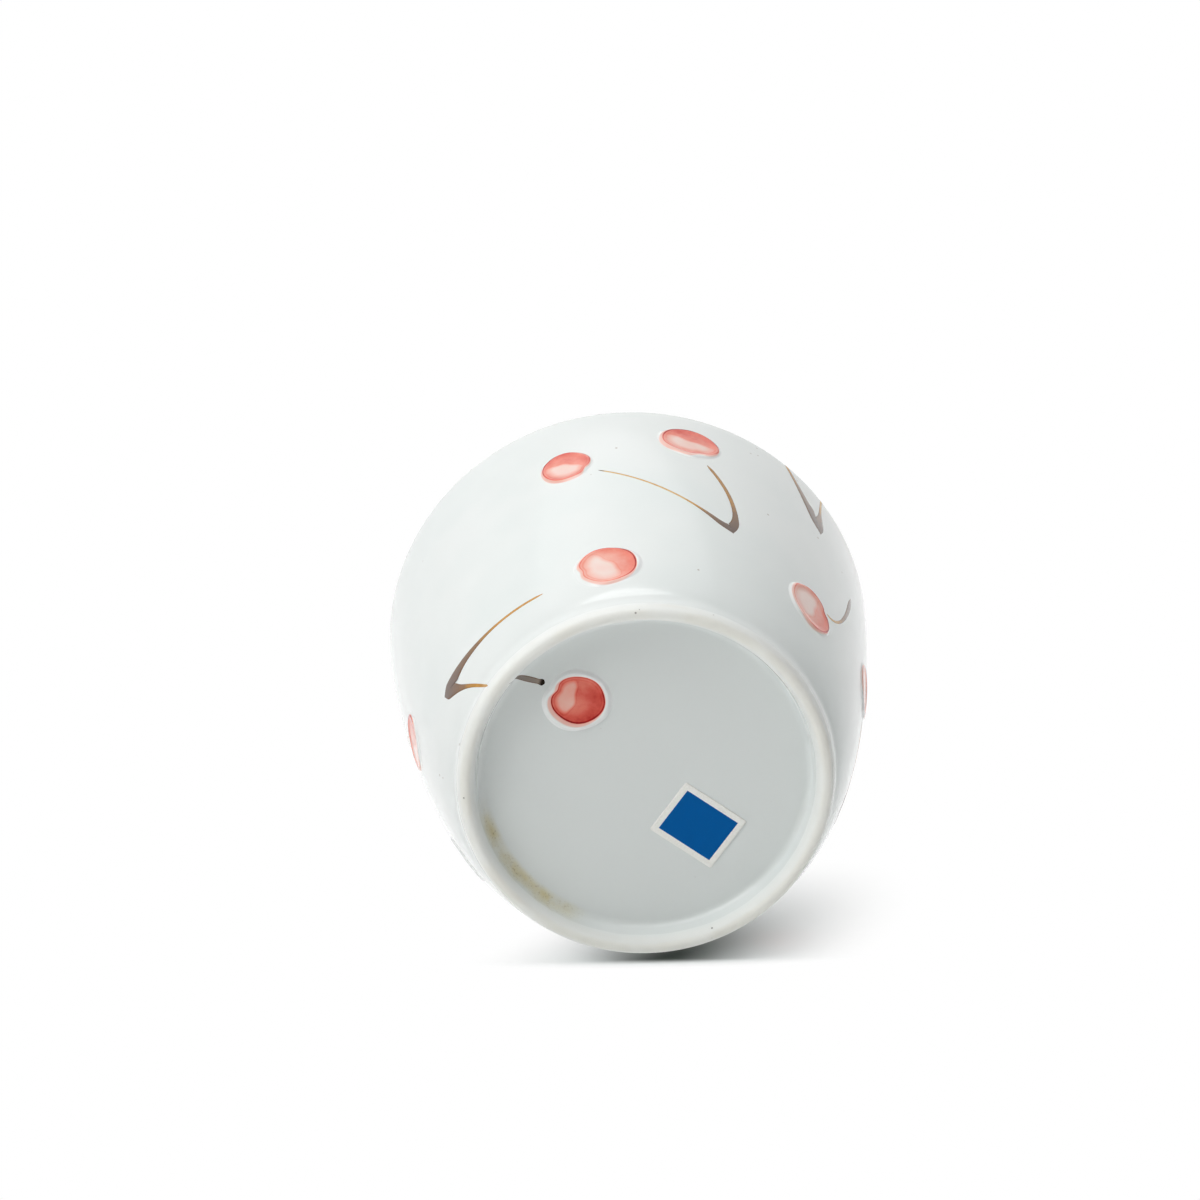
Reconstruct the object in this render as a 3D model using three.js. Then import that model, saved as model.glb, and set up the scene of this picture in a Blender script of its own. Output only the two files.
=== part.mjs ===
// Soba choko: a small porcelain cup with raised cherries, a bare foot ring and a paper label.
// Millimetres, +Z out of the mouth. The origin is the middle of the foot's standing face.
import * as THREE from "three";

// Cup body
const CUP_HEIGHT = 67;
const RIM_RADIUS = 42;
const LIP_ROUND = 1.3; // radius of the rounded lip, half the wall there
const WALL_AT_FLOOR = 3.8; // wall thickness where it turns into the floor, measured level
const FLOOR_THICKNESS = 4.2;
const INNER_CORNER = 11; // size of the soft turn from the inner wall to the inner floor
const HIP_FLARE = 30; // degrees that the wall leans out just above the foot
const HIP_REACH = 8; // how far that lean carries up the wall
const RIM_FLARE = 3; // degrees that the wall leans out at the lip
const RIM_REACH = 26; // how far that lean carries down the wall

// Foot ring
const FOOT_HEIGHT = 4.5; // also the depth of the recess under the floor
const FOOT_OUTER_RADIUS = 31.1;
const FOOT_FLAT = 1.2; // width of the level standing face
const CREST_ROUND = 0.95; // rounding on the outer side of the standing face
const TOE_WIDTH = 0.55; // on its inner side the rounding reaches this far level
const TOE_HEIGHT = 2.6; // and this far up the ring's inner side
const RECESS_LEAN = 1.6; // that side leans in by this much between its foot and the floor
const RECESS_FILLET = 0.5; // round corner between that side and the recess
const COVE_WIDTH = 0.6; // the ring widens by this much to meet the wall
const COVE_HEIGHT = 1.9;

// Cherry pads of slip
const CHERRY_RADIUS = 5.3; // of a pad of size 1
const CHERRY_THICKNESS = 0.45; // at the raised border
const CHERRY_DISH = 0.2; // the dish lies this much below the border
const CHERRY_BORDER = 1.1; // width of the rounded border
const SEAT_GAP = 0.3; // clearance under a pad on a curved wall

// Paper label
const LABEL_LENGTH = 12.4;
const LABEL_WIDTH = 10.2;
const LABEL_THICKNESS = 0.2;
const LABEL_TURN = 35.5; // degrees about the cup's axis

// Where the cherries sit on the outside: degrees round the axis from +X, the share of the way from
// the foot ring to the lip, and each one's size against CHERRY_RADIUS.
const OUTSIDE_CHERRIES = [
  { turn: -106.5, up: 0.69, size: 1.05 },
  { turn: -76, up: 0.82, size: 1.12 },
  { turn: -100, up: 0.12, size: 1.1 },
  { turn: -39, up: 0.25, size: 1.08 },
  { turn: -3, up: 0.48, size: 0.98 },
  { turn: 31, up: 0.62, size: 0.95 },
  { turn: 49, up: 0.2, size: 1 },
  { turn: 82, up: 0.74, size: 1.03 },
  { turn: 107, up: 0.52, size: 0.96 },
  { turn: 144.5, up: 0.215, size: 0.95 },
  { turn: 174, up: 0.4, size: 1.02 },
];
// The same on the inner wall.
const INSIDE_CHERRIES = [
  { turn: -58, up: 0.8, size: 0.97 },
  { turn: -31, up: 0.75, size: 1 },
];
// Under the floor, by shares of the recess's radius along X and Y.
const UNDERSIDE_CHERRY = { x: -0.425, y: -0.5, size: 1.1 };
const LABEL_PLACE = { x: 0.335, y: 0.355 };

// Steps round the axis and along each stretch of a profile
const CUP_SEGMENTS = 72;
const WALL_STEPS = 14;
const LIP_STEPS = 6;
const INNER_STEPS = 9;
const CORNER_STEPS = 6;
const ROUND_STEPS = 3;
const CHERRY_SEGMENTS = 16;

// Worked out from the sizes above
const FOOT_TOP_RADIUS = FOOT_OUTER_RADIUS + COVE_WIDTH;
const FLAT_OUTER_RADIUS = FOOT_OUTER_RADIUS - CREST_ROUND;
const FLAT_INNER_RADIUS = FLAT_OUTER_RADIUS - FOOT_FLAT;
const TOE_RADIUS = FLAT_INNER_RADIUS - TOE_WIDTH;
const RECESS_CORNER = TOE_RADIUS - RECESS_LEAN;
const RECESS_RADIUS = RECESS_CORNER - RECESS_FILLET;
const INNER_FLOOR = FOOT_HEIGHT + FLOOR_THICKNESS;
const WALL_TOP = CUP_HEIGHT - LIP_ROUND;
const WALL_RISE = WALL_TOP - FOOT_HEIGHT;

const radians = THREE.MathUtils.degToRad;
const point = (r, z) => new THREE.Vector2(r, z);

// A profile of (radius, height) points turned about the cup's axis.
function turned(profile, segments) {
  return new THREE.LatheGeometry(profile, segments).rotateX(Math.PI / 2);
}

// A quarter round from one profile point to another, bulging towards the given corner.
function quarterRound(from, corner, to) {
  const curve = new THREE.QuadraticBezierCurve(from, corner, to);
  return curve.getPoints(ROUND_STEPS);
}

// The outside of the wall, from the foot ring up to the lip, as one smooth curve.
function outerWall() {
  const foot = point(FOOT_TOP_RADIUS, FOOT_HEIGHT);
  const lip = point(RIM_RADIUS, WALL_TOP);
  const hipLean = point(Math.sin(radians(HIP_FLARE)), Math.cos(radians(HIP_FLARE)));
  const rimLean = point(Math.sin(radians(RIM_FLARE)), Math.cos(radians(RIM_FLARE)));
  const above = hipLean.multiplyScalar(HIP_REACH).add(foot);
  const below = rimLean.multiplyScalar(-RIM_REACH).add(lip);
  return new THREE.CubicBezierCurve(foot, above, below, lip).getPoints(WALL_STEPS);
}

const WALL = outerWall();

// Radius of the wall's outside at a height.
function outerRadius(height) {
  const last = WALL.length - 1;
  const found = WALL.findIndex((p) => p.y > height);
  const next = found < 0 ? last : Math.max(found, 1);
  const [low, high] = [WALL[next - 1], WALL[next]];
  return THREE.MathUtils.mapLinear(height, low.y, high.y, low.x, high.x);
}

// Radius of the wall's inside: it thins evenly from the floor up to the lip.
function innerRadius(height) {
  const share = (height - INNER_FLOOR) / (WALL_TOP - INNER_FLOOR);
  return outerRadius(height) - THREE.MathUtils.lerp(WALL_AT_FLOOR, 2 * LIP_ROUND, share);
}

// Wall and floor in one piece: underside, outer wall, lip, inner wall, soft corner, inner floor.
function cupBody() {
  const lip = new THREE.EllipseCurve(
    RIM_RADIUS - LIP_ROUND,
    WALL_TOP,
    LIP_ROUND,
    LIP_ROUND,
    0,
    Math.PI,
  ).getPoints(LIP_STEPS);
  const cornerTop = INNER_FLOOR + INNER_CORNER;
  const inner = [];
  for (let i = 1; i < INNER_STEPS; i++) {
    const height = THREE.MathUtils.lerp(WALL_TOP, cornerTop, i / INNER_STEPS);
    inner.push(point(innerRadius(height), height));
  }
  const corner = new THREE.QuadraticBezierCurve(
    point(innerRadius(cornerTop), cornerTop),
    point(innerRadius(INNER_FLOOR), INNER_FLOOR),
    point(innerRadius(INNER_FLOOR) - INNER_CORNER, INNER_FLOOR),
  ).getPoints(CORNER_STEPS);
  const underside = point(0, FOOT_HEIGHT);
  const floorMiddle = point(0, INNER_FLOOR);
  const profile = [underside, ...WALL, ...lip.slice(1), ...inner, ...corner, floorMiddle];
  return turned(profile, CUP_SEGMENTS);
}

// A point on the foot ring's leaning inner side.
function innerSide(height) {
  return point(TOE_RADIUS - (RECESS_LEAN * height) / FOOT_HEIGHT, height);
}

// The ring under the floor: fillet to the recess, rounded crest with a level face, cove to the wall.
function footRing() {
  const coveLean = COVE_WIDTH / Math.tan(radians(HIP_FLARE));
  const fillet = quarterRound(
    point(RECESS_RADIUS, FOOT_HEIGHT),
    innerSide(FOOT_HEIGHT),
    innerSide(FOOT_HEIGHT - RECESS_FILLET),
  );
  const crestInner = quarterRound(
    innerSide(TOE_HEIGHT),
    innerSide(0),
    point(FLAT_INNER_RADIUS, 0),
  );
  const crestOuter = quarterRound(
    point(FLAT_OUTER_RADIUS, 0),
    point(FOOT_OUTER_RADIUS, 0),
    point(FOOT_OUTER_RADIUS, CREST_ROUND),
  );
  const cove = quarterRound(
    point(FOOT_OUTER_RADIUS, FOOT_HEIGHT - COVE_HEIGHT),
    point(FOOT_OUTER_RADIUS, FOOT_HEIGHT - coveLean),
    point(FOOT_TOP_RADIUS, FOOT_HEIGHT),
  );
  const profile = [...fillet, ...crestInner, ...crestOuter, ...cove, fillet[0]];
  return turned(profile, CUP_SEGMENTS);
}

// A round pad lying in the XY plane: level underside, rounded border, shallow dish on top.
function cherryPad(radius) {
  const crest = radius - CHERRY_BORDER / 2;
  const dishEdge = radius - 2 * CHERRY_BORDER;
  const dishTop = CHERRY_THICKNESS - CHERRY_DISH;
  const profile = [
    point(0, 0),
    point(radius / 2, 0),
    point(radius, 0),
    point(crest, CHERRY_THICKNESS),
    point(crest - CHERRY_BORDER / 2, CHERRY_THICKNESS),
    point(dishEdge, dishTop),
    point(0, dishTop),
  ];
  return turned(profile, CHERRY_SEGMENTS);
}

// A pad bent onto a wall. side is 1 on the outside and -1 on the inside, where the pad faces the axis.
function padOnWall(place, radiusAt, side) {
  const padRadius = CHERRY_RADIUS * place.size;
  const pad = cherryPad(padRadius);
  const position = pad.getAttribute("position");
  const middle = FOOT_HEIGHT + place.up * WALL_RISE;
  const middleRadius = radiusAt(middle);
  const lean = Math.atan2(
    radiusAt(middle + padRadius) - radiusAt(middle - padRadius),
    2 * padRadius,
  );
  for (let i = 0; i < position.count; i++) {
    const across = position.getX(i);
    const height = middle + position.getY(i) * Math.cos(lean);
    const lift = side * (SEAT_GAP + position.getZ(i));
    const angle = radians(place.turn) + (side * across) / middleRadius;
    const radius = radiusAt(height) + lift * Math.cos(lean);
    position.setXYZ(
      i,
      radius * Math.cos(angle),
      radius * Math.sin(angle),
      height - lift * Math.sin(lean),
    );
  }
  return pad;
}

// A pad turned over and seated flat against the underside of the floor.
function padUnderFloor(place) {
  return cherryPad(CHERRY_RADIUS * place.size)
    .rotateX(Math.PI)
    .translate(place.x * RECESS_RADIUS, place.y * RECESS_RADIUS, FOOT_HEIGHT);
}

function finish(color, roughness) {
  return new THREE.MeshStandardMaterial({ color, roughness, metalness: 0 });
}

const cup = new THREE.Group();

function add(name, geometry, material) {
  const mesh = new THREE.Mesh(geometry, material);
  mesh.name = name;
  cup.add(mesh);
  return mesh;
}

add("cup_body", cupBody(), finish(0xeef1f0, 0.12));
add("foot_ring", footRing(), finish(0xdedcd3, 0.75));

const pads = [
  ...OUTSIDE_CHERRIES.map((place) => padOnWall(place, outerRadius, 1)),
  ...INSIDE_CHERRIES.map((place) => padOnWall(place, innerRadius, -1)),
  padUnderFloor(UNDERSIDE_CHERRY),
];
pads.forEach((pad, index) => {
  const number = String(index + 1).padStart(2, "0");
  add(`cherry_${number}`, pad, finish(0xdf7a6a, 0.15));
});

const label = add(
  "paper_label",
  new THREE.BoxGeometry(LABEL_LENGTH, LABEL_WIDTH, LABEL_THICKNESS),
  finish(0x0d5897, 0.55),
);
label.rotation.z = radians(LABEL_TURN);
label.position.set(
  LABEL_PLACE.x * RECESS_RADIUS,
  LABEL_PLACE.y * RECESS_RADIUS,
  FOOT_HEIGHT - LABEL_THICKNESS / 2,
);

export default cup;
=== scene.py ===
"""A porcelain soba choko with raised cherries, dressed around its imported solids.

Lengths are in metres, in the cup's own frame: +Z out of the mouth, the origin in the middle of the
foot's standing face. In the picture the cup lies on its +Y side, its foot towards the camera.
"""

import logging
import math
from dataclasses import dataclass, field, replace
from enum import Enum
from typing import Any, Callable, ClassVar, Optional, Sequence, Union

import bpy
import numpy as np
from mathutils import Matrix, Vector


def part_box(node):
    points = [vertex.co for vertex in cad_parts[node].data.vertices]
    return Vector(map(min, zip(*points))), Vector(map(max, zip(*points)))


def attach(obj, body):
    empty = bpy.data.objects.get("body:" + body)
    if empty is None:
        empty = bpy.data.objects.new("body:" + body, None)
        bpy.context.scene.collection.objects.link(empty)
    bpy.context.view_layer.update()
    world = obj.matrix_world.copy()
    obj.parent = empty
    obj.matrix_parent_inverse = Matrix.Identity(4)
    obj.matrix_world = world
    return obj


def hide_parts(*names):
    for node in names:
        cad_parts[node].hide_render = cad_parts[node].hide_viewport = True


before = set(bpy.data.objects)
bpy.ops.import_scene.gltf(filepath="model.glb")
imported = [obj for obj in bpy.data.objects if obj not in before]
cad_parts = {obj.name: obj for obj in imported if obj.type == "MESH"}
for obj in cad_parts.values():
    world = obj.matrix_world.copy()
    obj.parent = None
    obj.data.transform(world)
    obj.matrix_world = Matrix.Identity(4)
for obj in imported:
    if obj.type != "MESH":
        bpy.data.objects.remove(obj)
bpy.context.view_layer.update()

LOG = logging.getLogger("soba_choko")
ROOT_BODY = "root"
MM = 0.001
FULL_TURN = 2.0 * math.pi

Array = np.ndarray
Colour = tuple[float, float, float, float]
Pair = tuple[float, float]
Stops = tuple[tuple[float, Colour], ...]
Lay = Callable[[Array, Array, Array], Array]


def srgb(*levels: int) -> Colour:
    """Turn screen red, green and blue of 0 to 255 into the linear colour that a shader takes."""
    share = np.array(levels) / 255.0
    return (*np.where(share <= 0.04045, share / 12.92, ((share + 0.055) / 1.055) ** 2.4).tolist(), 1.0)


def smooth(low: float, high: float, value: Array) -> Array:
    """Ease from 0 at low to 1 at high, which may be the lower one, as t squared times (3 minus 2t)."""
    t = np.clip((value - low) / (high - low), 0.0, 1.0)
    return t * t * (3.0 - 2.0 * t)


def ridge(value: Array, place: float, width: float) -> Array:
    """A soft ridge of height 1: e to the minus square of the distance from place over width."""
    return np.exp(-(((value - place) / width) ** 2))


def waves(value: Array, terms: Sequence[Pair], phases: Array) -> Array:
    """The sum, over pairs of pace and depth, of depth times the sine of pace times value plus phase."""
    return sum(depth * np.sin(pace * value + phase) for (pace, depth), phase in zip(terms, phases))


def turn_from(way: float, angle: Array) -> Array:
    """The shortest turn from one direction to others, in radians."""
    return np.angle(np.exp(1j * (angle - way)))


def circle(steps: int) -> Array:
    """Evenly spaced directions round a full turn, in radians."""
    return np.linspace(0.0, FULL_TURN, steps, endpoint=False)


def around(radius: Array, height: Array, angle: Array) -> Array:
    """Points at a radius and a height, turned by an angle about the Z axis."""
    return np.stack(np.broadcast_arrays(radius * np.cos(angle), radius * np.sin(angle), height), axis=-1)


def unit(vectors: Array) -> Array:
    """Vectors scaled to a length of 1, along the last axis."""
    return vectors / np.linalg.norm(vectors, axis=-1, keepdims=True)


def travelled(points: Array) -> Array:
    """Distance along a line of points, from 0 at the first."""
    return np.concatenate([[0.0], np.cumsum(np.linalg.norm(np.diff(points, axis=0), axis=1))])


def bezier(points: Sequence[Sequence[float]], steps: int) -> Array:
    """Sample a quadratic or cubic Bezier curve by repeated blending of its control points.

    Args:
        points: Three or four control points.
        steps: Number of stretches along the curve.

    Returns:
        An array of steps + 1 points.
    """
    t = np.linspace(0.0, 1.0, steps + 1)[:, None]
    level = [np.broadcast_to(np.asarray(p, float), (steps + 1, len(p))) for p in points]
    while len(level) > 1:
        level = [a * (1.0 - t) + b * t for a, b in zip(level, level[1:])]
    return level[0]


def math_method(operation: str, swapped: bool = False) -> Callable[..., "Wire"]:
    """Make a method of Wire that adds one Math node.

    Args:
        operation: The Math node's operation.
        swapped: Whether the other value comes first, as in a reflected operator.

    Returns:
        The method.
    """
    def method(wire: "Wire", other: Any = 0.0) -> "Wire":
        """The result of the Math node on this value and another."""
        first, second = (other, wire) if swapped else (wire, other)
        return wire.book.node("Math", {"operation": operation}, {0: first, 1: second})

    return method


class Wire:
    """A value in a shader, on which Python's operators add Math nodes."""

    def __init__(self, book: "NodeBook", socket: Optional[bpy.types.NodeSocket]) -> None:
        """Keep the socket and the node book that it belongs to."""
        self.book = book
        self.socket = socket

    __add__ = math_method("ADD")
    __radd__ = math_method("ADD", swapped=True)
    __sub__ = math_method("SUBTRACT")
    __rsub__ = math_method("SUBTRACT", swapped=True)
    __mul__ = math_method("MULTIPLY")
    __rmul__ = math_method("MULTIPLY", swapped=True)
    __truediv__ = math_method("DIVIDE")
    __rtruediv__ = math_method("DIVIDE", swapped=True)
    __pow__ = math_method("POWER")
    __abs__ = math_method("ABSOLUTE")

    def held(self) -> "Wire":
        """This value held between 0 and 1."""
        settings = {"operation": "ADD", "use_clamp": True}
        return self.book.node("Math", settings, {0: self, 1: 0.0})

    def eased(self, low: float, high: float) -> "Wire":
        """Ease this value from 0 at low to 1 at high."""
        inputs = {"Value": self, "From Min": low, "From Max": high}
        return self.book.node("MapRange", {"interpolation_type": "SMOOTHSTEP"}, inputs)


class NodeBook:
    """The nodes of one material or world, added one call at a time."""

    def __init__(self, owner: Union[bpy.types.Material, bpy.types.World]) -> None:
        """Empty the owner's node tree, so that only what is added here is in it."""
        owner.use_nodes = True
        self.tree = owner.node_tree
        self.tree.nodes.clear()

    def node(
        self,
        kind: str,
        settings: Optional[dict[str, Any]] = None,
        inputs: Optional[dict[Union[str, int], Any]] = None,
        output: Union[str, int] = 0,
    ) -> Wire:
        """Add any node.

        Args:
            kind: The node's type name after the common ShaderNode.
            settings: Properties of the node, set before its sockets; "stops" fills a colour ramp.
            inputs: Values or wires for its input sockets, by name or number.
            output: The output socket that is wanted.

        Returns:
            That output as a wire.
        """
        made = self.tree.nodes.new("ShaderNode" + kind)
        for key, value in (settings or {}).items():
            if key == "stops":
                self._fill_ramp(made.color_ramp, value)
            else:
                setattr(made, key, value)
        for key, value in (inputs or {}).items():
            if isinstance(value, Wire):
                self.tree.links.new(value.socket, made.inputs[key])
            else:
                made.inputs[key].default_value = value
        return Wire(self, made.outputs[output] if made.outputs else None)

    @staticmethod
    def _fill_ramp(ramp: bpy.types.ColorRamp, stops: Stops) -> None:
        """Give a colour ramp these stops.

        Args:
            ramp: The ramp to fill.
            stops: Pairs of place and colour, in rising order.
        """
        while len(ramp.elements) < len(stops):
            ramp.elements.new(1.0)
        for element, (place, colour) in zip(ramp.elements, stops):
            element.position = place
            element.color = colour

    def mix(self, share: Any, first: Any, second: Any) -> Wire:
        """Mix two colours, by the second one's share."""
        return self.node("Mix", {"data_type": "RGBA"}, {0: share, 6: first, 7: second}, 2)

    def here(self) -> Wire:
        """The point on the surface, in the object's own coordinates."""
        return self.node("TexCoord", output="Object")

    def height(self, here: Wire) -> Wire:
        """A point's height above the table."""
        return self.node("SeparateXYZ", None, {0: here}, "Z")

    def radius(self, here: Wire) -> Wire:
        """A point's distance from the cup's axis."""
        level = self.node("VectorMath", {"operation": "MULTIPLY"}, {0: here, 1: (1.0, 1.0, 0.0)})
        return self.node("VectorMath", {"operation": "LENGTH"}, {0: level}, "Value")

    def dot(self, vector: Wire, way: Sequence[float]) -> Wire:
        """Dot product of a vector and a fixed direction."""
        inputs = {0: vector, 1: tuple(way)}
        return self.node("VectorMath", {"operation": "DOT_PRODUCT"}, inputs, "Value")

    def attribute(self, name: str) -> Wire:
        """A number that the mesh carries at each vertex."""
        settings = {"attribute_type": "GEOMETRY", "attribute_name": name}
        return self.node("Attribute", settings, output="Fac")


@dataclass(frozen=True)
class Cloud:
    """Cloudy noise about 0.5; low and high are the noise values that ease to 0 and 1."""

    per_metre: float
    octaves: float = 2.0
    low: float = 0.0
    high: float = 1.0

    def noise(self, here: Wire) -> Wire:
        """The noise itself."""
        inputs = {"Vector": here, "Scale": self.per_metre, "Detail": self.octaves}
        return here.book.node("TexNoise", {"noise_dimensions": "3D"}, inputs)

    def share(self, here: Wire) -> Wire:
        """The noise eased to a share from 0 to 1."""
        return self.noise(here).eased(self.low, self.high)


@dataclass(frozen=True)
class Flecks:
    """Small round dots at random, one in each cell, which show only where a rare cloud does.

    size is a dot's radius as a share of its cell, core the share of that radius that is full, and
    strength how much of the dots' colour shows.
    """

    per_metre: float
    size: float
    strength: float
    rare: Cloud
    core: float = 0.6

    def share(self, here: Wire) -> Wire:
        """How much of the dots' colour shows at a point.

        Args:
            here: Object coordinates.

        Returns:
            The colour's share, from 0 to 1.
        """
        inputs = {"Vector": here, "Scale": self.per_metre, "Randomness": 1.0}
        distance = here.book.node("TexVoronoi", {"feature": "F1"}, inputs, "Distance")
        dots = 1.0 - distance.eased(self.size * self.core, self.size)
        return dots * self.rare.share(here) * self.strength


@dataclass(frozen=True)
class Ripple:
    """A cloudy bump: depth is what a height of 1 stands for and strength how much of it shows."""

    cloud: Cloud
    depth: float
    strength: float

    def normal(self, here: Wire, share: Any = 1.0) -> Wire:
        """The bumped normal.

        Args:
            here: Object coordinates.
            share: How much of the bump's height a point has.

        Returns:
            The normal.
        """
        height = self.cloud.noise(here) * share
        inputs = {"Strength": self.strength, "Distance": self.depth, "Height": height}
        return here.book.node("Bump", None, inputs)


class Finish:
    """A material to dress a piece in; each kind of finish fills in its shader's sockets."""

    material: ClassVar[str]

    def sockets(self, here: Wire) -> dict[str, Any]:
        """Values and wires for the Principled shader, by socket, from the object coordinates."""
        raise NotImplementedError

    def dress(self, piece: bpy.types.Object) -> None:
        """Give the piece a new material of this finish.

        Args:
            piece: The object to dress.
        """
        material = bpy.data.materials.new(self.material)
        book = NodeBook(material)
        shader = book.node("BsdfPrincipled", None, self.sockets(book.here()))
        book.node("OutputMaterial", None, {"Surface": shader})
        piece.data.materials.append(material)


@dataclass(frozen=True)
class GlazeFinish(Finish):
    """Clear gloss glaze over cool white porcelain, with a kiln stain inside the foot.

    The glaze lies thick under the floor, below thick_shade_height and within thick_shade_radius,
    where its colour also carries painted shade of the recess. The stain lies where the flame's ash
    settled: in the corner of the recess, on one side.
    """

    material: ClassVar[str] = "clear_glaze"
    white: Colour = srgb(239, 243, 241)
    cool: Colour = srgb(231, 238, 236)
    cool_share: float = 0.6
    cool_cloud: Cloud = Cloud(45.0, low=0.35, high=0.7)
    fleck: Colour = srgb(150, 132, 112)
    flecks: Flecks = Flecks(420.0, 0.12, 0.55, Cloud(160.0, 0.0, 0.7, 0.73))
    # Darker, cooler glaze under the floor: the glaze lies thick there, and the recess's shade is painted
    # in.
    pooled: Colour = srgb(230, 235, 233)
    thick_shade_height: Pair = (4.6 * MM, 5.4 * MM)
    thick_shade_radius: Pair = (26.2 * MM, 27.0 * MM)
    stain: Colour = srgb(218, 205, 148)
    stain_turn: float = math.radians(141.0)
    stain_core: float = math.radians(10.0)
    stain_reach: float = math.radians(33.0)
    stain_band: tuple[float, float, float] = (25.6 * MM, 27.1 * MM, 28.5 * MM)
    haze: Cloud = Cloud(260.0, 3.0, 0.28, 0.68)
    haze_least: float = 0.2
    haze_gain: float = 0.65
    ash: Colour = srgb(150, 134, 92)
    ash_share: float = 0.6
    ash_grain: Cloud = Cloud(2600.0, 3.0, 0.56, 0.66)
    gloss: float = 0.1
    dull: Cloud = Cloud(300.0)
    dull_gain: float = 0.05
    ior: float = 1.52
    ripple: Ripple = Ripple(Cloud(120.0, 1.0), 0.05 * MM, 0.35)

    def tone(self, here: Wire) -> Wire:
        """The glaze's colour: white, cooler and with painted shade where thick, rare flecks, the stain.

        Args:
            here: Object coordinates.

        Returns:
            The colour.
        """
        book = here.book
        white = book.mix(self.cool_cloud.share(here) * self.cool_share, self.white, self.cool)
        # Painted shade of the recess under the floor, where the glaze also lies thick.
        deep_shaded = book.mix(self.thick_and_shaded(here), white, self.pooled)
        flecked = book.mix(self.flecks.share(here), deep_shaded, self.fleck)
        stained = self.stained(here)
        tinted = book.mix(stained, flecked, self.stain)
        return book.mix(stained * self.ash_grain.share(here) * self.ash_share, tinted, self.ash)

    def thick_and_shaded(self, here: Wire) -> Wire:
        """1 under the floor and inside the foot ring, where the glaze lies thick and shade is painted, 0
        elsewhere.
        """
        low = 1.0 - here.book.height(here).eased(*self.thick_shade_height)
        return low * (1.0 - here.book.radius(here).eased(*self.thick_shade_radius))

    def stained(self, here: Wire) -> Wire:
        """How much of the kiln stain shows: an ochre haze along one stretch of the foot's corner.

        Args:
            here: Object coordinates.

        Returns:
            The stain's share, from 0 to 1.
        """
        radius = here.book.radius(here)
        toward = here.book.dot(here, (math.cos(self.stain_turn), math.sin(self.stain_turn), 0.0))
        near = (toward / radius).eased(math.cos(self.stain_reach), math.cos(self.stain_core))
        low, middle, high = self.stain_band
        band = radius.eased(low, middle) * (1.0 - radius.eased(middle, high))
        return near * band * (self.haze_least + self.haze.share(here) * self.haze_gain)

    def sockets(self, here: Wire) -> dict[str, Any]:
        """A gloss shader with a slow ripple.

        Args:
            here: Object coordinates.

        Returns:
            Values and wires by socket.
        """
        return {
            "Base Color": self.tone(here),
            "Roughness": self.gloss + self.dull_gain * self.dull.noise(here),
            "IOR": self.ior,
            "Normal": self.ripple.normal(here),
        }


@dataclass(frozen=True)
class BareFootFinish(Finish):
    """A foot whose crest was wiped bare of glaze: matte pale clay between two glazed flanks.

    The glaze line wanders about crest_height, with toasted clay along it in places.
    """

    material: ClassVar[str] = "bare_foot"
    glaze: GlazeFinish
    clay: Colour = srgb(244, 246, 242)
    toasted: Colour = srgb(224, 210, 178)
    toast_share: float = 0.4
    toast_cloud: Cloud = Cloud(70.0, low=0.5, high=0.7)
    worn: Colour = srgb(240, 240, 232)
    worn_height: float = 0.6 * MM
    worn_cloud: Cloud = Cloud(90.0, low=0.25, high=0.6)
    grit: Colour = srgb(92, 84, 74)
    grit_flecks: Flecks = Flecks(600.0, 0.13, 0.7, Cloud(210.0, 0.0, 0.66, 0.7))
    crest_height: float = 1.7 * MM
    line_width: float = 1.1 * MM
    wander: float = 0.35 * MM
    wander_cloud: Cloud = Cloud(130.0)
    clay_roughness: float = 0.72
    grain: Ripple = Ripple(Cloud(2600.0, 3.0), 0.06 * MM, 0.5)

    def sockets(self, here: Wire) -> dict[str, Any]:
        """Bare clay below the glaze line and glaze above it.

        Args:
            here: Object coordinates.

        Returns:
            Values and wires by socket.
        """
        book = here.book
        line = book.height(here) + (self.wander_cloud.noise(here) - 0.5) * (2.0 * self.wander)
        glazed = line.eased(self.crest_height - self.line_width, self.crest_height + self.line_width)
        toast = (1.0 - abs(glazed - 0.5) * 2.0) * self.toast_cloud.share(here)
        rubbed = (1.0 - line.eased(0.0, self.worn_height)) * self.worn_cloud.share(here)
        bare = book.mix(rubbed, self.clay, self.worn)
        clay = book.mix(toast * self.toast_share, bare, self.toasted)
        gritty = book.mix(self.grit_flecks.share(here), clay, self.grit)
        return {
            "Base Color": book.mix(glazed, gritty, self.glaze.tone(here)),
            "Roughness": self.clay_roughness - glazed * (self.clay_roughness - self.glaze.gloss),
            "IOR": self.glaze.ior,
            "Normal": self.grain.normal(here, 1.0 - glazed),
        }


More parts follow.
